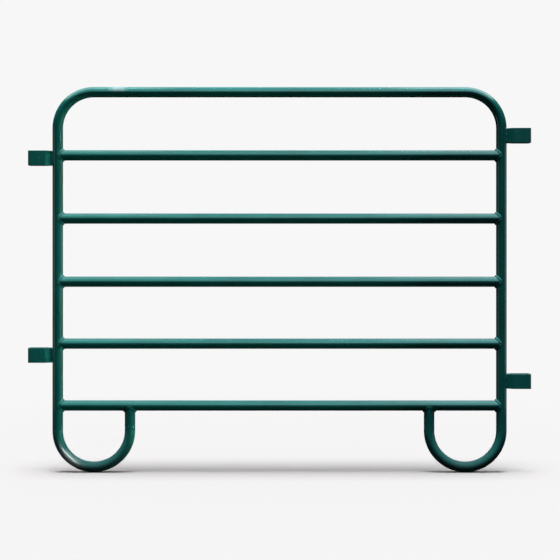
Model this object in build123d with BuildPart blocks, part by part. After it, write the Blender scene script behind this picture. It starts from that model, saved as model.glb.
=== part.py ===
from build123d import *
import os
from math import cos, radians, sqrt

# A livestock panel: one round steel tube bent into a frame with a looped foot at each end,
# five cross rails welded between its uprights, and four strap lugs whose eyes take drop pins.
#
# Millimetres. +X runs along the panel towards its outer-lug end, +Z is up, and the front
# faces -Y. The origin is on the ground, under the middle of the panel.

# Driving dimensions
FRAME_HEIGHT = 1524.0  # ground to the top of the frame, 5 ft
FRAME_WIDTH = 1797.0  # across the outsides of the two uprights
TUBE_OD = 41.3  # 1 5/8 in, for the frame and the rails alike
TUBE_WALL = 1.5  # 16 gauge
BEND_RADIUS = 143.0  # centreline, the same former for the corners and the feet
UPPER_RAIL_PITCH = 250.0  # from the top of the frame down to the third rail
LOWER_RAIL_PITCH = 245.0  # the two lowest bays are a little tighter
STRAP_WIDTH = 58.0  # the flat bar that the lugs are bent from
STRAP_THICKNESS = 4.8
STRAP_EDGE = 0.8  # rolled edge of the flat bar
LUG_REACH = 94.0  # from the side of the upright to the end of the lug
EYE_DEPTH = 54.0  # over the outsides of a lug's two legs
INNER_LUG_Z = (1242.0, 463.0)  # heights of the left end's lugs
OUTER_LUG_Z = (1331.0, 360.0)  # the right end's, which pass outside a neighbour's inner lugs
FIT_GAP = 0.2  # root gap between tubes before welding
WELD_CLEARANCE = 0.02  # keeps a bead off the metal that it lies on
CUTTER_LENGTH = 120.0  # longer than anything that a cutting cylinder goes through

# Worked out from them
TUBE_R = TUBE_OD / 2
TUBE_BORE = TUBE_R - TUBE_WALL
UPRIGHT_X = FRAME_WIDTH / 2 - TUBE_R
TOP_Z = FRAME_HEIGHT - TUBE_R
FOOT_Z = TUBE_R + BEND_RADIUS  # centre of a foot's half circle
STUB_X = UPRIGHT_X - 2 * BEND_RADIUS  # a foot's free leg, which comes up under the lowest rail
RAIL_Z = [TOP_Z - UPPER_RAIL_PITCH * n for n in (1, 2, 3)]
RAIL_Z += [RAIL_Z[-1] - LOWER_RAIL_PITCH * n for n in (1, 2)]


def save(piece, name):
    """Labels a finished piece and writes it as its own STEP file."""
    piece.label = name
    export_step(piece, f"parts/{name}.step")


os.makedirs("parts", exist_ok=True)


# ---------------------------------------------------------------- frame tube

# The centreline, drawn from the top of the right foot's free leg round to mid-span and mirrored
with BuildLine(Plane.XZ) as frame_path:
    stub = Line((STUB_X, RAIL_Z[-1]), (STUB_X, FOOT_Z))
    foot = CenterArc((UPRIGHT_X - BEND_RADIUS, FOOT_Z), BEND_RADIUS, 180, 180)
    upright = Line(foot @ 1, (UPRIGHT_X, TOP_Z - BEND_RADIUS))
    corner = CenterArc((UPRIGHT_X - BEND_RADIUS, TOP_Z - BEND_RADIUS), BEND_RADIUS, 0, 90)
    top = Line(corner @ 1, (0, TOP_Z))
    mirror(about=Plane.YZ)

with BuildPart() as frame_tube:
    with BuildSketch(Plane(origin=stub @ 0, z_dir=stub % 0)):
        Circle(TUBE_R)
        Circle(TUBE_BORE, mode=Mode.SUBTRACT)
    sweep(path=frame_path.wires()[0])
    # The free legs are saddle cut to fit up against the lowest rail.
    with Locations((-STUB_X, 0, RAIL_Z[-1]), (STUB_X, 0, RAIL_Z[-1])):
        Cylinder(TUBE_R + FIT_GAP, CUTTER_LENGTH, rotation=(0, 90, 0), mode=Mode.SUBTRACT)

save(frame_tube.part, "frame_tube")


# ---------------------------------------------------------------- cross rails

def make_rail(height):
    """A round rail, saddle cut at both ends to fit the uprights."""
    with BuildPart() as rail:
        with BuildSketch(Plane(origin=(-UPRIGHT_X, 0, height), x_dir=(0, 1, 0), z_dir=(1, 0, 0))):
            Circle(TUBE_R)
            Circle(TUBE_BORE, mode=Mode.SUBTRACT)
        extrude(amount=2 * UPRIGHT_X)
        with Locations((-UPRIGHT_X, 0, height), (UPRIGHT_X, 0, height)):
            Cylinder(TUBE_R + FIT_GAP, CUTTER_LENGTH, mode=Mode.SUBTRACT)
    return rail.part


for number, height in enumerate(RAIL_Z, start=1):
    save(make_rail(height), f"rail_{number}")


# ---------------------------------------------------------------- saddle welds

SADDLE_THROAT = 5.0  # from the root of the corner out to the weld's face
SADDLE_CAP = 2.2  # how far the weld stands over the tubes where they run flush
SADDLE_WIDTH = 9.0


def make_saddle_weld():
    """The bead where a tube along +X meets a tube of its own size along Z, at the origin.

    Two equal tubes meet in two half ellipses, in the planes at 45 degrees to both. Each half
    of the bead is a slab on that plane, and only what stands outside both tubes is kept.
    """
    long_radius = TUBE_R * sqrt(2) + SADDLE_THROAT
    short_radius = TUBE_R + SADDLE_CAP
    with BuildPart() as weld:
        for rise in (1, -1):
            with BuildSketch(Plane(origin=(0, 0, 0), x_dir=(1, 0, rise), z_dir=(1, 0, -rise))):
                Ellipse(long_radius, short_radius)
                with Locations((-long_radius, 0)):
                    Rectangle(2 * long_radius, 2 * short_radius, mode=Mode.SUBTRACT)
            extrude(amount=SADDLE_WIDTH / 2, both=True)
        # The tips at the front and back, where the two halves run into each other
        Cylinder(SADDLE_WIDTH / 2, 2 * short_radius, rotation=(90, 0, 0))
        for turn in (0, 90):
            Cylinder(
                TUBE_R + WELD_CLEARANCE, CUTTER_LENGTH, rotation=(0, turn, 0), mode=Mode.SUBTRACT
            )
    return weld.part


saddle_weld = make_saddle_weld()
for number, height in enumerate(RAIL_Z, start=1):
    save(saddle_weld.moved(Location((-UPRIGHT_X, 0, height))), f"weld_rail_{number}_left")
    save(
        saddle_weld.moved(Location((UPRIGHT_X, 0, height), (0, 0, 180))),
        f"weld_rail_{number}_right",
    )
for side, x in (("left", -STUB_X), ("right", STUB_X)):
    # The free leg comes from below, so the bead's branch turns from +X to -Z.
    save(saddle_weld.moved(Location((x, 0, RAIL_Z[-1]), (0, 90, 0))), f"weld_foot_{side}")


# ---------------------------------------------------------------- lugs and their welds

CORNER_BEND = 7.6  # centreline, at the square outer end of the eye
NECK_BEND = 12.0  # centreline, where the legs turn in towards the upright
NECK_X = TUBE_R + 25.0  # the legs run straight from here outwards
ROOT_X, ROOT_Y = 16.0, 5.3  # centreline of a leg, a little inside the upright's wall
LEG_Y = (EYE_DEPTH - STRAP_THICKNESS) / 2
END_X = TUBE_R + LUG_REACH - STRAP_THICKNESS / 2
LUG_WELD_R = 4.4
LUG_WELD_END = 3.4  # rounds off the two ends of a bead


def make_lug():
    """A strap eye that stands out along +X from an upright at the origin."""
    with BuildPart() as lug:
        with BuildSketch():
            with BuildLine():
                FilletPolyline(
                    (ROOT_X, -ROOT_Y),
                    (NECK_X, -LEG_Y),
                    (END_X, -LEG_Y),
                    (END_X, LEG_Y),
                    (NECK_X, LEG_Y),
                    (ROOT_X, ROOT_Y),
                    radius=[NECK_BEND, CORNER_BEND, CORNER_BEND, NECK_BEND],
                )
            trace(line_width=STRAP_THICKNESS)
        extrude(amount=STRAP_WIDTH / 2, both=True)
        rims = lug.faces().filter_by(Axis.Z)
        root_lines = lug.edges().filter_by(lambda e: (e @ 0.5).X < ROOT_X + STRAP_THICKNESS)
        fillet(rims.edges() - root_lines, STRAP_EDGE)
        Cylinder(TUBE_R + FIT_GAP, CUTTER_LENGTH, mode=Mode.SUBTRACT)
    return lug.part


LEG_SLOPE = (LEG_Y - ROOT_Y) / (NECK_X - ROOT_X)


def leg_face_y(x):
    """How far from the lug's mid-plane a leg's outer face is, between the upright and the neck."""
    return ROOT_Y + (x - ROOT_X) * LEG_SLOPE + STRAP_THICKNESS / 2 * sqrt(1 + LEG_SLOPE**2)


def make_lug_welds():
    """The two upright beads, one in the outer corner between each leg and the upright."""
    # Where the line of the leg's outer face meets the circle of the upright
    steepness = 1 + LEG_SLOPE**2
    start = leg_face_y(0)
    root_x = (sqrt(TUBE_R**2 * steepness - start**2) - LEG_SLOPE * start) / steepness
    root_y = leg_face_y(root_x)
    with BuildPart() as welds:
        with Locations((root_x, root_y, 0), (root_x, -root_y, 0)):
            Cylinder(LUG_WELD_R, STRAP_WIDTH)
        fillet(welds.edges().filter_by(GeomType.CIRCLE), LUG_WELD_END)
        Cylinder(TUBE_R + WELD_CLEARANCE, CUTTER_LENGTH, mode=Mode.SUBTRACT)
        # Both legs and the space between them, so that a bead lies only outside the lug
        with BuildSketch():
            with BuildLine():
                near = leg_face_y(ROOT_X) + WELD_CLEARANCE
                far = leg_face_y(NECK_X) + WELD_CLEARANCE
                Polyline(
                    (ROOT_X, near), (NECK_X, far), (NECK_X, -far), (ROOT_X, -near), close=True
                )
            make_face()
        extrude(amount=CUTTER_LENGTH / 2, both=True, mode=Mode.SUBTRACT)
    return welds.part


lug = make_lug()
lug_welds = make_lug_welds()
ENDS = (("left", -UPRIGHT_X, 180, INNER_LUG_Z), ("right", UPRIGHT_X, 0, OUTER_LUG_Z))
for side, x, turn, heights in ENDS:
    for level, height in zip(("upper", "lower"), heights):
        place = Location((x, 0, height), (0, 0, turn))
        save(lug.moved(place), f"lug_{level}_{side}")
        save(lug_welds.moved(place), f"welds_lug_{level}_{side}")


# ---------------------------------------------------------------- blank label

LABEL_X = (-675.0, -601.0)  # along the top of the frame
LABEL_THICKNESS = 0.15
LABEL_HALF_ANGLE = 85.0  # each way round the tube from its top

with BuildPart() as blank_label:
    with BuildSketch(Plane(origin=(LABEL_X[0], 0, TOP_Z), x_dir=(0, 1, 0), z_dir=(1, 0, 0))):
        Circle(TUBE_R + WELD_CLEARANCE + LABEL_THICKNESS)
        Circle(TUBE_R + WELD_CLEARANCE, mode=Mode.SUBTRACT)
        with Locations((0, TUBE_R * cos(radians(LABEL_HALF_ANGLE)) - 2 * TUBE_R)):
            Rectangle(4 * TUBE_R, 4 * TUBE_R, mode=Mode.SUBTRACT)
    extrude(amount=LABEL_X[1] - LABEL_X[0])

save(blank_label.part, "blank_label")
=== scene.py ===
import math

import bmesh
import bpy
from mathutils import Matrix, Vector, noise


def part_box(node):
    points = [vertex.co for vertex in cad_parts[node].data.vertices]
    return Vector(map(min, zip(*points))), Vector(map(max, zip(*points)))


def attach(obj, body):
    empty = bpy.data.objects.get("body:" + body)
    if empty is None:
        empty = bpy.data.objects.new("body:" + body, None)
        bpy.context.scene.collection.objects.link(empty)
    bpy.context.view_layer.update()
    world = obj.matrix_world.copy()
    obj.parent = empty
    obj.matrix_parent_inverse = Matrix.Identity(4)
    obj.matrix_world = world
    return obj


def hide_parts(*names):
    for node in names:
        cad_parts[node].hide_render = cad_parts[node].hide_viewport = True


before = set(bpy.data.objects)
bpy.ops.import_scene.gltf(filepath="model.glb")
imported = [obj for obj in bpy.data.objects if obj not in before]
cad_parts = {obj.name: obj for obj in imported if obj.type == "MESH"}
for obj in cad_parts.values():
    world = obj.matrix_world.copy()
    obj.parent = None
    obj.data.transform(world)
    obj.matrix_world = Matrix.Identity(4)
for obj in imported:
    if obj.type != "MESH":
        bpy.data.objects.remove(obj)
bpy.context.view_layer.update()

# The looks of a livestock panel: fine tube, strap and weld meshes in place of the faceted CAD
# nodes, gloss green enamel over everything, a pale floor and soft light. Metres throughout.

MM = 0.001
X, Y, Z = Vector((1, 0, 0)), Vector((0, 1, 0)), Vector((0, 0, 1))

RAILS = [f"rail_{n}" for n in range(1, 6)]
LUGS = [f"lug_{level}_{side}" for side in ("left", "right") for level in ("upper", "lower")]


def middle(node):
    low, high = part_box(node)
    return (low + high) / 2


# Sizes of the tube and its bends, the same as in the CAD
TUBE_R = 41.3 / 2 * MM
WALL = 1.5 * MM
BEND_R = 143.0 * MM  # centreline

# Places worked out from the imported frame
FRAME_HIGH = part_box("frame_tube")[1]
UPRIGHT_X = FRAME_HIGH.x - TUBE_R
TOP_Z = FRAME_HIGH.z - TUBE_R
LOWEST_RAIL_Z = middle(RAILS[-1]).z
FOOT_X = UPRIGHT_X - BEND_R  # middle of a foot's half circle
FOOT_Z = TUBE_R + BEND_R
LEG_X = UPRIGHT_X - 2 * BEND_R  # a foot's free leg
STRAP_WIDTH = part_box(LUGS[0])[1].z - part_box(LUGS[0])[0].z

TUBE_SIDES = 72
ARC_STEP = math.radians(3.0)
SHARP_ANGLE = math.radians(50)


# ---------------------------------------------------------------- mesh helpers

def make_piece(name, node, mesh_parts, material):
    """Joins (vertices, faces) parts in one smooth mesh, which stands for one CAD node."""
    vertices, faces = [], []
    for part_vertices, part_faces in mesh_parts:
        offset = len(vertices)
        vertices += part_vertices
        faces += [tuple(offset + corner for corner in face) for face in part_faces]
    mesh = bpy.data.meshes.new(name)
    mesh.from_pydata(vertices, [], faces)
    shape = bmesh.new()
    shape.from_mesh(mesh)
    bmesh.ops.recalc_face_normals(shape, faces=shape.faces)
    shape.to_mesh(mesh)
    shape.free()
    mesh.shade_smooth()
    mesh.set_sharp_from_angle(angle=SHARP_ANGLE)
    mesh.materials.append(material)
    piece = bpy.data.objects.new(name, mesh)
    bpy.context.scene.collection.objects.link(piece)
    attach(piece, "root")
    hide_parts(node)


def bent_route(corners, radii, up):
    """A line through the corners with an arc at each: (point, direction) pairs, in one plane."""
    route = [(corners[0], (corners[1] - corners[0]).normalized())]
    for before, corner, after, radius in zip(corners, corners[1:], corners[2:], radii):
        into = (corner - before).normalized()
        out = (after - corner).normalized()
        turn = into.angle(out)
        hand = 1.0 if up.dot(into.cross(out)) > 0 else -1.0
        start = corner - into * radius * math.tan(turn / 2)
        centre = start + up.cross(into) * hand * radius
        steps = max(4, math.ceil(turn / ARC_STEP))
        for step in range(steps + 1):
            spin = Matrix.Rotation(hand * turn * step / steps, 3, up)
            route.append((centre + spin @ (start - centre), spin @ into))
    route.append((corners[-1], (corners[-1] - corners[-2]).normalized()))
    # Two arcs that meet without a straight between them share a point.
    kept = route[:1]
    for point, direction in route[1:]:
        if (point - kept[-1][0]).length > 1e-6:
            kept.append((point, direction))
    return kept


def ring_round(point, direction, up, section):
    side = up.cross(direction)
    return [point + side * a + up * b for a, b in section]


def cut_to_tube(ring, inwards, tube_point, tube_axis):
    """Slides a ring's points along the piece to where they leave the tube that it is fitted to."""
    cut = []
    for point in ring:
        gap = point - tube_point
        gap -= tube_axis * gap.dot(tube_axis)
        run = inwards - tube_axis * inwards.dot(tube_axis)
        half_b = gap.dot(run) / run.dot(run)
        rest = (gap.dot(gap) - TUBE_R**2) / run.dot(run)
        cut.append(point + inwards * (math.sqrt(max(half_b**2 - rest, 0.0)) - half_b))
    return cut


def skin(rings, closed=False):
    """Quads between one ring and the next."""
    count = len(rings[0])
    vertices = [point for ring in rings for point in ring]
    faces = []
    for index in range(len(rings) if closed else len(rings) - 1):
        here, there = index * count, (index + 1) % len(rings) * count
        for side in range(count):
            beside = (side + 1) % count
            faces.append((here + side, here + beside, there + beside, there + side))
    return vertices, faces


def capped(rings):
    """A skin with a face over each of its ends."""
    vertices, faces = skin(rings)
    count = len(rings[0])
    faces.append(tuple(range(count))[::-1])
    faces.append(tuple(range(len(vertices) - count, len(vertices))))
    return vertices, faces


def placed(mesh, place):
    vertices, faces = mesh
    return [place @ vertex for vertex in vertices], faces


def circle(radius, sides=TUBE_SIDES):
    return [
        (radius * math.cos(math.tau * n / sides), radius * math.sin(math.tau * n / sides))
        for n in range(sides)
    ]


def hollow_tube(route, up, start_cut, end_cut):
    """A tube with a bore, each end saddle cut to the tube that (point, axis) gives."""
    walls = []
    for radius in (TUBE_R, TUBE_R - WALL):
        rings = [ring_round(point, direction, up, circle(radius)) for point, direction in route]
        rings[0] = cut_to_tube(rings[0], route[0][1], *start_cut)
        rings[-1] = cut_to_tube(rings[-1], -route[-1][1], *end_cut)
        walls.append(rings)
    outer, bore = walls
    # One closed run of rings: out along the bore, back along the outside
    return skin(bore + outer[::-1], closed=True)


# ---------------------------------------------------------------- node helpers

class Nodes:
    """A few short words for building a node tree."""

    def __init__(self, tree, coordinates="Object"):
        self.tree = tree
        self.place = self.add("ShaderNodeTexCoord").outputs[coordinates]

    def add(self, kind, **settings):
        node = self.tree.nodes.new(kind)
        for key, value in settings.items():
            setattr(node, key, value)
        return node

    def feed(self, socket, value):
        """Links a socket to another node's output, or sets it to a number, vector or colour."""
        if isinstance(value, bpy.types.NodeSocket):
            self.tree.links.new(value, socket)
        elif socket.type == "RGBA":
            socket.default_value = (*value, 1.0)
        else:
            socket.default_value = value

    def along(self, axis):
        """How far a place is along X, Y or Z."""
        node = self.add("ShaderNodeSeparateXYZ")
        self.feed(node.inputs["Vector"], self.place)
        return node.outputs[axis]

    def stretched(self, scale):
        node = self.add("ShaderNodeMapping")
        self.feed(node.inputs["Vector"], self.place)
        self.feed(node.inputs["Scale"], scale)
        return node.outputs["Vector"]

    def noise(self, scale, detail=2.0, roughness=0.5, vector=None):
        node = self.add("ShaderNodeTexNoise")
        self.feed(node.inputs["Vector"], vector or self.place)
        self.feed(node.inputs["Scale"], scale)
        self.feed(node.inputs["Detail"], detail)
        self.feed(node.inputs["Roughness"], roughness)
        return node.outputs["Fac"]

    def span(self, value, low, high, to_low=0.0, to_high=1.0):
        """Turns low...high into to_low...to_high, and stops at its ends."""
        node = self.add("ShaderNodeMapRange", clamp=True)
        sockets = ("Value", "From Min", "From Max", "To Min", "To Max")
        for socket, number in zip(sockets, (value, low, high, to_low, to_high)):
            self.feed(node.inputs[socket], number)
        return node.outputs["Result"]

    def math(self, operation, *values):
        node = self.add("ShaderNodeMath", operation=operation)
        for socket, value in zip(node.inputs, values):
            self.feed(socket, value)
        return node.outputs["Value"]

    def mix(self, factor, first, second, blend="MIX"):
        node = self.add("ShaderNodeMix", data_type="RGBA", blend_type=blend)
        colours = [socket for socket in node.inputs if socket.type == "RGBA"]
        for socket, value in zip((node.inputs[0], *colours), (factor, first, second)):
            self.feed(socket, value)
        return next(socket for socket in node.outputs if socket.type == "RGBA")

    def mix_shaders(self, factor, first, second):
        node = self.add("ShaderNodeMixShader")
        for socket, value in zip(node.inputs, (factor, first, second)):
            self.feed(socket, value)
        return node.outputs["Shader"]

    def bump(self, height, distance, normal=None):
        node = self.add("ShaderNodeBump")
        self.feed(node.inputs["Height"], height)
        self.feed(node.inputs["Distance"], distance)
        self.feed(node.inputs["Strength"], 1.0)
        if normal:
            self.feed(node.inputs["Normal"], normal)
        return node.outputs["Normal"]


def new_material(name):
    material = bpy.data.materials.new(name)
    material.use_nodes = True
    tree = material.node_tree
    return material, Nodes(tree), tree.nodes["Principled BSDF"]


# ---------------------------------------------------------------- materials

# The enamel where its film is middling, thin and deep, and the painted shade that darkens it
# towards the ground
PAINT = (0.0120, 0.185, 0.145)
PAINT_THIN = (0.0150, 0.210, 0.166)
PAINT_DEEP = (0.0095, 0.155, 0.118)
PAINTED_SHADE_LOW = (0.0110, 0.045, 0.038)
DUST = (0.16, 0.14, 0.10)
SHADE_AND_DUST_TOP, SHADE_AND_DUST_FULL = 0.20, 0.02  # heights where the painted shade and the dust begin and where they are strongest

FOIL_DULL = (0.22, 0.26, 0.24)
FOIL_BRIGHT = (0.40, 0.44, 0.42)


def enamel(name, roughness, peel, flake=0.42, painted_shade_scale=1.0):
    """Gloss green enamel, darker towards the ground with painted shade, and with a little pale dust
    there.

    peel is the height of its orange peel, flake is how far its sheen takes the paint's own colour,
    and the scale that comes last darkens the paint when below 1, as painted shade.
    """
    material, nodes, shader = new_material(name)
    paint, thin, deep = (
        tuple(painted_shade_scale * channel for channel in colour) for colour in (PAINT, PAINT_THIN, PAINT_DEEP)
    )
    # Film thickness: slow changes along a tube, finer clouding, and runs that follow gravity
    slow = nodes.span(nodes.noise(5.0, detail=3.0), 0.35, 0.65)
    cloud = nodes.span(nodes.noise(60.0, detail=4.0), 0.3, 0.7, 0.0, 0.45)
    streaks = nodes.noise(1.0, detail=3.0, vector=nodes.stretched((90.0, 90.0, 9.0)))
    runs = nodes.span(streaks, 0.35, 0.7, 0.0, 0.25)
    colour = nodes.mix(slow, deep, thin)
    colour = nodes.mix(cloud, colour, paint)
    colour = nodes.mix(runs, colour, deep)
    # Painted shade darkens the paint towards the ground, where it is also rougher, with less sheen
    # and coat, and a little pale dust lies on it.
    low = nodes.span(nodes.along("Z"), SHADE_AND_DUST_TOP, SHADE_AND_DUST_FULL)
    specks = nodes.span(nodes.noise(420.0, detail=5.0, roughness=0.7), 0.50, 0.80, 0.0, 0.30)
    dusty = nodes.math("MULTIPLY", specks, low)
    # Painted shade: the colour goes darker towards the ground.
    colour = nodes.mix(nodes.math("MULTIPLY", low, 0.85), colour, PAINTED_SHADE_LOW)
    colour = nodes.mix(dusty, colour, DUST)
    patches = nodes.noise(35.0, detail=5.0, roughness=0.6)
    rough = nodes.span(patches, 0.3, 0.7, roughness - 0.05, roughness + 0.07)
    rough = nodes.math("ADD", rough, nodes.math("MULTIPLY", dusty, 0.5))
    rough = nodes.math("ADD", rough, nodes.math("MULTIPLY", low, 0.44))
    orange_peel = nodes.bump(nodes.noise(330.0, detail=1.0), peel)
    for socket, value in (
        ("Base Color", colour),
        ("Roughness", rough),
        ("Metallic", nodes.span(low, 0.0, 0.45, flake, 0.04)),
        ("Coat Weight", nodes.span(low, 0.0, 0.4, 1.0, 0.0)),
        ("Coat Roughness", 0.11),
        ("IOR", 1.5),
        ("Normal", nodes.bump(nodes.noise(45.0, detail=1.0), peel * 4.0, normal=orange_peel)),
    ):
        nodes.feed(shader.inputs[socket], value)
    return material


def foil(name, node):
    """Blank satin label foil, creased and scuffed, and worn thin over the paint to its ends."""
    material, nodes, shader = new_material(name)
    low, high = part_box(node)
    half_length = (high.x - low.x) / 2
    cloud = nodes.span(nodes.noise(120.0, detail=4.0), 0.35, 0.7)
    offset = nodes.math("SUBTRACT", nodes.along("X"), (low.x + high.x) / 2)
    squared = nodes.math("MULTIPLY", offset, offset)
    worn_from, worn_to = 0.15 * half_length, 0.75 * half_length
    ends = nodes.span(squared, worn_from**2, worn_to**2, 0.0, 0.62)
    scuffs = nodes.span(nodes.noise(170.0, detail=4.0, roughness=0.6), 0.50, 0.62, 0.0, 0.55)
    colour = nodes.mix(cloud, FOIL_DULL, FOIL_BRIGHT)
    colour = nodes.mix(nodes.math("MAXIMUM", ends, scuffs), colour, PAINT)
    grain = nodes.noise(1.0, detail=3.0, vector=nodes.stretched((60.0, 2500.0, 2500.0)))
    for socket, value in (
        ("Base Color", colour),
        ("Roughness", nodes.span(grain, 0.3, 0.7, 0.40, 0.54)),
        ("Metallic", 0.10),
        ("Normal", nodes.bump(nodes.noise(260.0, detail=3.0), 0.06 * MM)),
    ):
        nodes.feed(shader.inputs[socket], value)
    return material


tube_paint = enamel("tube_enamel", roughness=0.18, peel=0.030 * MM)
# The lugs' enamel is a darker copy of the tubes', its colour scaled down as painted shade.
lug_paint = enamel("lug_enamel", roughness=0.22, peel=0.040 * MM, flake=0.12, painted_shade_scale=0.87)
weld_paint = enamel("weld_enamel", roughness=0.34, peel=0.020 * MM)
label_foil = foil("label_foil_blank", "blank_label")


# ---------------------------------------------------------------- frame and rails

def make_frame():
    """One tube: up the left foot's free leg, round the frame and down to the right foot's."""
    corners = []
    for side in (-1, 1):
        half = [
            Vector((side * LEG_X, 0, LOWEST_RAIL_Z)),
            Vector((side * LEG_X, 0, TUBE_R)),
            Vector((side * UPRIGHT_X, 0, TUBE_R)),
            Vector((side * UPRIGHT_X, 0, TOP_Z)),
        ]
        corners += half if side < 0 else half[::-1]
    route = bent_route(corners, [BEND_R] * 6, Y)
    rail = (Vector((0, 0, LOWEST_RAIL_Z)), X)
    tube = hollow_tube(route, Y, rail, rail)
    make_piece("frame_tube_enamelled", "frame_tube", [tube], tube_paint)


def make_rail(node):
    height = middle(node).z
    ends = [Vector((side * UPRIGHT_X, 0, height)) for side in (-1, 1)]
    tube = hollow_tube([(end, X) for end in ends], Y, (ends[0], Z), (ends[1], Z))
    make_piece(f"{node}_enamelled", node, [tube], tube_paint)


make_frame()
for rail_node in RAILS:
    make_rail(rail_node)


# ---------------------------------------------------------------- weld beads

RIPPLE_PITCH = 3.0 * MM
RIPPLE_HEIGHT = 0.24 * MM
RIPPLE_CRESCENT = 1.3 * MM  # how far a ripple's ends trail behind its middle
RIPPLE_STEPS = 6  # stations to a ripple
BEAD_ACROSS = 10  # faces from toe to toe
TOE_SINK = 0.7 * MM  # how far a bead's edges run below the metal
ROOT_SINK = 1.0 * MM  # how far its underside does

# A hand-laid bead's wander, as (how much, over what length)
WIDTH_WANDER = (0.16, 7 * MM)  # as a share of the width
SIDE_WANDER = (0.7 * MM, 11 * MM)
CROWN_WANDER = (0.5 * MM, 9 * MM)
RESTART = (0.7 * MM, 3.5 * MM)  # height and length of the lump where the welder began again


def wander(distance, seed, size, wavelength):
    """A smooth, irregular wave. Each seed has its own."""
    return size * noise.noise(Vector((distance / wavelength, 17.3 * seed, 4.1)))


def bead_mesh(stations, seed, closed):
    """A rippled hand-laid bead. A station is (point, outwards, slope, half_width, throat).

    slope is how fast the two surfaces fall away to each side of the root, and throat is how far
    the bead's crown stands from the root.
    """
    points = [station[0] for station in stations]
    count = len(points)
    rings, travelled = [], 0.0
    length = sum((points[i] - points[i - 1]).length for i in range(0 if closed else 1, count))
    pitch = length / round(length / RIPPLE_PITCH)
    restart = length * (0.5 + wander(0.0, seed, 0.4, 1.0))
    for index, (point, outwards, slope, half_width, throat) in enumerate(stations):
        if index:
            travelled += (point - points[index - 1]).length
        ahead = points[(index + 1) % count] if closed or index < count - 1 else point
        behind = points[index - 1] if closed or index else point
        side = (ahead - behind).normalized().cross(outwards).normalized()
        # A closed bead's wander has to come round to where it began.
        fade = math.sin(math.pi * travelled / length) ** 0.5 if closed else 1.0
        width = half_width * (1 + fade * wander(travelled, seed, *WIDTH_WANDER))
        shift = fade * wander(travelled, seed + 50, *SIDE_WANDER)
        crown = throat + fade * wander(travelled, seed + 90, *CROWN_WANDER)
        crown += RESTART[0] * math.exp(-(((travelled - restart) / RESTART[1]) ** 2))
        ring = []
        for step in range(BEAD_ACROSS + 1):
            u = 2 * step / BEAD_ACROSS - 1
            toe = width * slope - TOE_SINK
            rise = toe + (crown - toe) * (1 - u * u)
            phase = (travelled + RIPPLE_CRESCENT * u * u) / pitch
            rise += RIPPLE_HEIGHT * (abs(math.sin(math.pi * phase)) - 0.6) * (1 - u**4)
            ring.append(point + side * (u * width + shift) + outwards * rise)
        ring.append(point - outwards * ROOT_SINK)
        rings.append(ring)
    return skin(rings, closed=True) if closed else capped(rings)


SADDLE_MEAN_R = 25 * MM  # of the loop that a joint's bead makes
SADDLE_HALF_WIDTH = 5.4 * MM  # in the crotches
SADDLE_NARROWING = 0.8 * MM  # less at the front and back, where the tubes run flush
SADDLE_PROUD = 0.35 * MM  # how far the crown stands over a flat fillet
TIP_ROUND = 3.6 * MM  # the bead turns this tightly where its two halves meet


def saddle_stations():
    """Round the joint of a tube along +X with a tube of its own size along Z, at the origin."""
    stations = []
    count = round(math.tau * SADDLE_MEAN_R / RIPPLE_PITCH) * RIPPLE_STEPS
    overshoot = math.hypot(TUBE_R, TIP_ROUND) - TUBE_R
    for step in range(count):
        angle = math.tau * step / count
        y, z = TUBE_R * math.sin(angle), TUBE_R * math.cos(angle)
        flush = 1 - abs(math.cos(angle))  # 0 in the crotches, 1 at the front and back
        x = math.hypot(z, TIP_ROUND) - overshoot * (z / TUBE_R) ** 2
        branch_normal = Vector((0, y, z)) / TUBE_R
        main_normal = Vector((abs(z), y, 0)) / TUBE_R
        outwards = (branch_normal + main_normal).normalized()
        slope = math.tan(branch_normal.angle(main_normal) / 2)
        half_width = SADDLE_HALF_WIDTH - SADDLE_NARROWING * flush
        throat = half_width * slope + SADDLE_PROUD
        stations.append((Vector((x, y, z)), outwards, slope, half_width, throat))
    return stations


def make_saddle_weld(node, place, seed):
    mesh = placed(bead_mesh(saddle_stations(), seed, closed=True), place)
    make_piece(f"{node}_bead", node, [mesh], weld_paint)


seed = 1
for number, rail_node in enumerate(RAILS, start=1):
    for side, x, turn in (("left", -UPRIGHT_X, 0), ("right", UPRIGHT_X, math.pi)):
        place = Matrix.Translation((x, 0, middle(rail_node).z)) @ Matrix.Rotation(turn, 4, "Z")
        make_saddle_weld(f"weld_rail_{number}_{side}", place, seed)
        seed += 1
for side, x in (("left", -LEG_X), ("right", LEG_X)):
    place = Matrix.Translation((x, 0, LOWEST_RAIL_Z)) @ Matrix.Rotation(math.pi / 2, 4, "Y")
    make_saddle_weld(f"weld_foot_{side}", place, seed)
    seed += 1


# ---------------------------------------------------------------- lugs

# The bar and its bends are the same as in the CAD, and the rest comes from the frame.
STRAP_T = 4.8 * MM
LUG_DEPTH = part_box(LUGS[0])[1].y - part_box(LUGS[0])[0].y
LUG_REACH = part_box("lug_upper_right")[1].x - UPRIGHT_X
LEG_Y = (LUG_DEPTH - STRAP_T) / 2
END_X = LUG_REACH - STRAP_T / 2
NECK_X = TUBE_R + 25.0 * MM
ROOT = Vector((16.0 * MM, 5.3 * MM, 0))  # centreline of a leg, a little inside the upright
NECK_BEND, CORNER_BEND = 12.0 * MM, 7.6 * MM
EDGE_R = 0.9 * MM
EDGE_STEPS = 4

LUG_BEAD_HALF_WIDTH, LUG_BEAD_THROAT = 3.3 * MM, 4.0 * MM
LUG_BEAD_INSET = 0.5 * MM  # of a bead's ends from the strap's edges
LUG_BEAD_END = 3 * MM  # the length over which it rounds off


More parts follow.
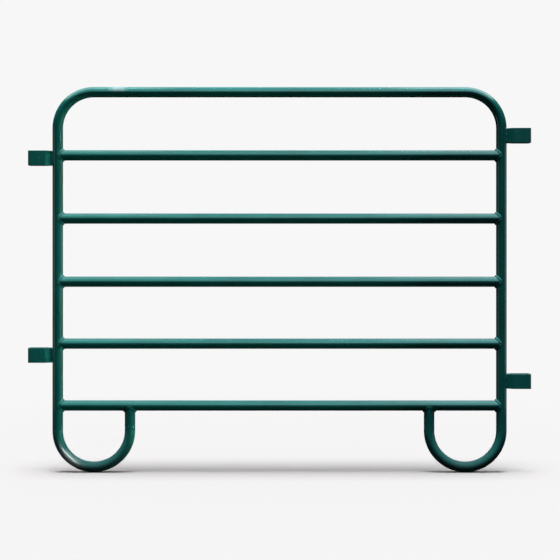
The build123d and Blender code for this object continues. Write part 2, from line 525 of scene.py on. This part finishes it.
def strap_section():
    """Rolled flat bar, STRAP_T by STRAP_WIDTH with rounded edges, as (across, along Z) pairs."""
    section = []
    half_t, half_w = STRAP_T / 2 - EDGE_R, STRAP_WIDTH / 2 - EDGE_R
    for quarter, (a, b) in enumerate(((1, 1), (-1, 1), (-1, -1), (1, -1))):
        centre = Vector((a * half_t, b * half_w))
        arc = []
        for step in range(EDGE_STEPS + 1):
            angle = math.pi / 2 * (quarter + step / EDGE_STEPS)
            arc.append(centre + EDGE_R * Vector((math.cos(angle), math.sin(angle))))
        # A point a little way along each flat keeps its shading flat.
        into, out = arc[0] - centre, arc[-1] - centre
        section += [tuple(arc[0] - out), *(tuple(point) for point in arc), tuple(arc[-1] - into)]
    return section


def lug_place(node):
    """Where a lug's upright is, turned so that the lug stands out along its own +X."""
    centre = middle(node)
    turn = math.pi if centre.x < 0 else 0.0
    upright = math.copysign(UPRIGHT_X, centre.x)
    return Matrix.Translation((upright, 0, centre.z)) @ Matrix.Rotation(turn, 4, "Z")


def make_lug(node):
    corners = [Vector(place) for place in (
        (ROOT.x, -ROOT.y, 0), (NECK_X, -LEG_Y, 0), (END_X, -LEG_Y, 0),
        (END_X, LEG_Y, 0), (NECK_X, LEG_Y, 0), (ROOT.x, ROOT.y, 0),
    )]
    route = bent_route(corners, [NECK_BEND, CORNER_BEND, CORNER_BEND, NECK_BEND], Z)
    rings = [ring_round(point, direction, Z, strap_section()) for point, direction in route]
    rings[0] = cut_to_tube(rings[0], route[0][1], Vector(), Z)
    rings[-1] = cut_to_tube(rings[-1], -route[-1][1], Vector(), Z)
    mesh = placed(capped(rings), lug_place(node))
    make_piece(f"{node}_strap", node, [mesh], lug_paint)


def lug_bead_stations(hand):
    """Up the outer corner between the upright and a lug's leg, on the side that hand names."""
    slope = (LEG_Y - ROOT.y) / (NECK_X - ROOT.x)
    face_y = ROOT.y - slope * ROOT.x + STRAP_T / 2 * math.hypot(1, slope)
    root_x = math.sqrt(TUBE_R**2 * (1 + slope**2) - face_y**2) - slope * face_y
    root_x /= 1 + slope**2
    bearing = math.asin((face_y + slope * root_x) / TUBE_R)
    half_open = (math.pi / 2 + bearing - math.atan(slope)) / 2
    facing = math.atan(slope) + half_open
    outwards = Vector((math.cos(facing), hand * math.sin(facing), 0))
    root = Vector((math.cos(bearing), hand * math.sin(bearing), 0)) * TUBE_R
    half_length = STRAP_WIDTH / 2 - LUG_BEAD_INSET
    count = round(2 * half_length / RIPPLE_PITCH) * RIPPLE_STEPS
    stations = []
    for step in range(count + 1):
        z = half_length * (2 * step / count - 1)
        into_end = max(0.0, (abs(z) - half_length + LUG_BEAD_END) / LUG_BEAD_END)
        full = max(math.sqrt(1 - into_end**2), 0.05)
        half_width, throat = LUG_BEAD_HALF_WIDTH * full, LUG_BEAD_THROAT * full
        stations.append((root + Z * z, outwards, 1 / math.tan(half_open), half_width, throat))
    return stations


def make_lug_welds(node, place, seed):
    beads = []
    for hand in (-1, 1):
        beads.append(placed(bead_mesh(lug_bead_stations(hand), seed + hand, closed=False), place))
    make_piece(f"{node}_beads", node, beads, weld_paint)


for lug_node in LUGS:
    make_lug(lug_node)
    make_lug_welds(f"welds_{lug_node}", lug_place(lug_node), seed)
    seed += 3


# ---------------------------------------------------------------- label

LABEL_ROWS, LABEL_COLUMNS = 36, 48  # along the tube and round it
LABEL_CORNER = 0.12  # the share of its length and wrap that its corners round off
LABEL_CREASE = 0.45  # the share of its thickness that its creases take
CREASE_LENGTH = 9 * MM
LABEL_LIFT = 0.02 * MM  # of its underside off the tube


def make_label():
    """A thin patch over the top of the frame, with rounded corners and a few creases."""
    low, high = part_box("blank_label")
    half_angle = math.acos((low.z - TOP_Z) / (high.z - TOP_Z))
    outside, inside = [], []
    for row in range(LABEL_ROWS + 1):
        u = 2 * row / LABEL_ROWS - 1
        near_end = max(0.0, (abs(u) - 1 + LABEL_CORNER) / LABEL_CORNER)
        reach = half_angle * (1 - LABEL_CORNER * (1 - math.sqrt(1 - near_end**2)))
        x = (low.x + high.x) / 2 + u * (high.x - low.x) / 2
        for column in range(LABEL_COLUMNS + 1):
            angle = reach * (2 * column / LABEL_COLUMNS - 1)
            crease = noise.noise(Vector((x / CREASE_LENGTH, angle * 3, 2.0)))
            thick = (high.z - TOP_Z - TUBE_R) * (1 - LABEL_CREASE * abs(crease))
            for surface, lift in ((outside, thick), (inside, LABEL_LIFT)):
                y, z = math.sin(angle), math.cos(angle)
                surface.append(Vector((x, y * (TUBE_R + lift), TOP_Z + z * (TUBE_R + lift))))
    count, across, faces = len(outside), LABEL_COLUMNS + 1, []
    for row in range(LABEL_ROWS):
        for column in range(LABEL_COLUMNS):
            corner = row * across + column
            face = (corner, corner + 1, corner + across + 1, corner + across)
            faces += [face, tuple(count + v for v in face[::-1])]
    rim = list(range(across))
    rim += [row * across + LABEL_COLUMNS for row in range(1, LABEL_ROWS + 1)]
    rim += [LABEL_ROWS * across + column for column in range(LABEL_COLUMNS - 1, -1, -1)]
    rim += [row * across for row in range(LABEL_ROWS - 1, 0, -1)]
    for here, there in zip(rim, rim[1:] + rim[:1]):
        faces.append((here, there, count + there, count + here))
    patch = (outside + inside, faces)
    make_piece("label_foil_patch", "blank_label", [patch], label_foil)


make_label()


# ---------------------------------------------------------------- floor and sky

BACKDROP = (0.93, 0.93, 0.93)
WHITE = (1.0, 1.0, 1.0)
FLOOR_COLOUR = (0.415, 0.288, 0.249)  # looks neutral under the blue-green light from above
FLOOR_RADII = (0.02, 2.0, 8.0, 60.0)
FLOOR_SIDES = 96
FLOOR_FADE = (1.2, 3.4)  # distances over which the floor turns into the backdrop

# Skies by height above the horizon, as (sine of elevation, colour)
GLOSS_SKY = [
    (-1.00, (0.005, 0.006, 0.006)),
    (-0.02, (0.008, 0.010, 0.010)),
    (0.11, (0.026, 0.036, 0.038)),
    (0.17, (0.38, 0.54, 0.57)),
    (0.21, (0.68, 0.94, 0.99)),
    (0.80, (0.68, 0.94, 0.99)),
    (1.00, (0.50, 0.68, 0.72)),
]
SOFT_SKY = [
    (-1.00, (0.006, 0.007, 0.007)),
    (0.00, (0.010, 0.012, 0.014)),
    (0.40, (0.11, 0.15, 0.18)),
    (1.00, (0.40, 0.52, 0.62)),
]
GLOSS_TINTS = ((0.75, 0.90, 0.90), (1.85, 1.14, 1.30))  # of the gloss sky, at left and at right
TINT_REACH = 0.18  # how far to each side, as a direction's X, a tint is full
GLOSS_SCREEN = 0.75  # the slope of the dark screens that stand to left and right of the gloss sky


def make_floor():
    """A pale floor under the panel, which fades into the plain backdrop."""
    rings = []
    for radius in FLOOR_RADII:
        rings.append([Vector((x, y, 0)) for x, y in circle(radius, FLOOR_SIDES)])
    vertices, faces = skin(rings)
    faces.append(tuple(range(FLOOR_SIDES))[::-1])
    mesh = bpy.data.meshes.new("floor")
    mesh.from_pydata(vertices, [], faces)
    material, nodes, shader = new_material("floor_pale")
    nodes.tree.nodes.remove(shader)
    matt = nodes.add("ShaderNodeBsdfDiffuse")
    nodes.feed(matt.inputs["Color"], FLOOR_COLOUR)
    glow = nodes.add("ShaderNodeEmission")
    nodes.feed(glow.inputs["Color"], BACKDROP)
    distance = nodes.add("ShaderNodeVectorMath", operation="LENGTH")
    nodes.feed(distance.inputs[0], nodes.place)
    fade = nodes.span(distance.outputs["Value"], *FLOOR_FADE)
    shown = nodes.mix_shaders(fade, matt.outputs["BSDF"], glow.outputs["Emission"])
    nodes.feed(nodes.tree.nodes["Material Output"].inputs["Surface"], shown)
    mesh.materials.append(material)
    floor = bpy.data.objects.new("floor", mesh)
    bpy.context.scene.collection.objects.link(floor)
    # The panel is lit and reflects as if it stood on dark grass, which keeps undersides dark.
    floor.visible_diffuse = False
    floor.visible_glossy = False


def sky(nodes, stops, screen, tints):
    """Light from a sky of these stops, screened to left and right and tinted across."""
    sideways = nodes.along("X")
    height = nodes.math("MULTIPLY_ADD", nodes.math("ABSOLUTE", sideways), -screen, nodes.along("Z"))
    ramp = nodes.add("ShaderNodeValToRGB")
    nodes.feed(ramp.inputs["Fac"], nodes.span(height, -1.0, 1.0))
    elements = ramp.color_ramp.elements
    for sine, colour in stops[1:-1]:
        elements.new((sine + 1) / 2)
    for element, (sine, colour) in zip(elements, stops):
        element.position = (sine + 1) / 2
        element.color = (*colour, 1)
    tint = nodes.mix(nodes.span(sideways, -TINT_REACH, TINT_REACH), *tints)
    light = nodes.add("ShaderNodeBackground")
    tinted = nodes.mix(1.0, ramp.outputs["Color"], tint, blend="MULTIPLY")
    nodes.feed(light.inputs["Color"], tinted)
    return light.outputs["Background"]


def make_world():
    """Skies for gloss and for soft light, and the plain backdrop where the camera looks."""
    world = bpy.data.worlds.new("soft_sky")
    bpy.context.scene.world = world
    world.use_nodes = True
    nodes = Nodes(world.node_tree, "Generated")
    backdrop = nodes.tree.nodes["Background"]
    nodes.feed(backdrop.inputs["Color"], BACKDROP)
    soft = sky(nodes, SOFT_SKY, 0.0, (WHITE, WHITE))
    gloss = sky(nodes, GLOSS_SKY, GLOSS_SCREEN, GLOSS_TINTS)
    rays = nodes.add("ShaderNodeLightPath").outputs
    shown = nodes.mix_shaders(rays["Is Glossy Ray"], soft, gloss)
    shown = nodes.mix_shaders(rays["Is Camera Ray"], shown, backdrop.outputs["Background"])
    nodes.feed(nodes.tree.nodes["World Output"].inputs["Surface"], shown)


# ---------------------------------------------------------------- lamps and camera

def place_lamp(light, place, facing):
    """Stands a lamp at a place. It shines against the direction that it faces."""
    lamp = bpy.data.objects.new(light.name, light)
    lamp.location = place
    lamp.rotation_mode = "QUATERNION"
    lamp.rotation_quaternion = facing.to_track_quat("Z", "Y")
    bpy.context.scene.collection.objects.link(lamp)
    return lamp


def make_sun(elevation, azimuth, angle, strength, colour):
    """Broad light from above, left out of reflections, where the sky alone shows.

    In degrees: elevation counts up from the horizon behind the panel, and azimuth turns that.
    """
    sun = bpy.data.lights.new("overhead", "SUN")
    sun.energy = strength
    sun.angle = math.radians(angle)
    sun.color = colour
    turn = Matrix.Rotation(math.radians(azimuth), 3, "Z")
    turn @= Matrix.Rotation(math.radians(elevation), 3, "X")
    lamp = place_lamp(sun, Vector(), turn @ Y)
    lamp.visible_glossy = False


def make_light(name, place, target, size, power, colour, spread=180):
    """A rectangular lamp of a (width, height), with its beam's spread in degrees."""
    light = bpy.data.lights.new(name, "AREA")
    light.shape = "RECTANGLE"
    light.size, light.size_y = size
    light.spread = math.radians(spread)
    light.energy = power
    light.color = colour
    lamp = place_lamp(light, place, place - target)
    lamp.visible_camera = False
    return lamp


LAMP_Z = 0.8  # about half way up the panel
GLINTS = 5
GLINT_DISTANCE = 3.0
GLINT_SIZE = (0.05, 0.05)


def make_soft_lamps():
    """Lamps that bring out the tubes' sides and the two upper bends."""
    make_sun(elevation=93, azimuth=-8, angle=22, strength=10.4, colour=(0.60, 0.86, 1.0))
    # A strip inside the panel, just in front of its rails, for the left upright's inner side
    left_upright = Vector((-0.93, 0, LAMP_Z))
    place = Vector((0.75, -0.21, LAMP_Z))
    strip = make_light("side", place, left_upright, (0.3, 1.5), 1.5, (0.90, 1.0, 0.92), spread=14)
    strip.visible_glossy = False
    # Reflections alone from here on: one glow down each upright, one rim over each upper bend
    for name, x, y, power, colour in (
        ("glow_left", -2.8, -0.4, 2.2, (1.0, 0.78, 0.66)),
        ("glow_right", 2.8, 0.0, 3.0, (0.92, 1.0, 1.0)),
    ):
        upright = Vector((math.copysign(UPRIGHT_X, x), 0, LAMP_Z))
        glow = make_light(name, Vector((x, y, LAMP_Z)), upright, (1.2, 1.6), power, colour)
        glow.visible_diffuse = False
    for name, side in (("rim_left", -1), ("rim_right", 1)):
        bend = Vector((side * 0.8, 0, 1.4))
        place = Vector((side * 1.95, -0.1, 4.2))
        rim = make_light(name, place, bend, (2.0, 2.6), 26, (1.0, 0.82, 0.82))
        rim.visible_diffuse = False


def make_glints():
    """Small lamps whose reflections run down and round the left foot, brightest at the start."""
    for number in range(GLINTS):
        climb = number / (GLINTS - 1)
        bearing = math.radians(11 + 12 * climb)
        height = math.radians(9.5 + 25 * climb)
        round_foot = math.radians(44 + 21 * climb)
        level = math.cos(height)
        away = Vector((math.sin(bearing) * level, -math.cos(bearing) * level, math.sin(height)))
        outwards = Vector((-math.cos(round_foot), 0, -math.sin(round_foot)))
        foot = Vector((-FOOT_X, 0, FOOT_Z)) + BEND_R * outwards
        place = foot + GLINT_DISTANCE * away
        power = 0.037 * (1 - climb) ** 1.5 + 0.003
        glint = make_light(
            f"glint_{number}", place, foot, GLINT_SIZE, power, (0.95, 0.99, 1.04), spread=2.0
        )
        glint.visible_diffuse = False


def make_camera():
    """Level and square on, with the middle of the panel at the middle of the picture."""
    distance, height = 5.2, 0.85
    # What the picture shows of the panel's plane: its width, and where its middle is
    picture_width, picture_x, picture_z = 2.2165, 1.78 * MM, 0.760
    camera = bpy.data.cameras.new("camera")
    camera.sensor_width = 36.0
    camera.lens = camera.sensor_width * distance / picture_width
    camera.shift_x = picture_x / picture_width
    camera.shift_y = (picture_z - height) / picture_width
    viewer = bpy.data.objects.new("camera", camera)
    viewer.location = (0, -distance, height)
    viewer.rotation_euler = (math.pi / 2, 0, 0)
    bpy.context.scene.collection.objects.link(viewer)
    bpy.context.scene.camera = viewer


make_floor()
make_world()
make_soft_lamps()
make_glints()
make_camera()
bpy.context.scene.view_settings.view_transform = "Standard"

bpy.context.view_layer.update()
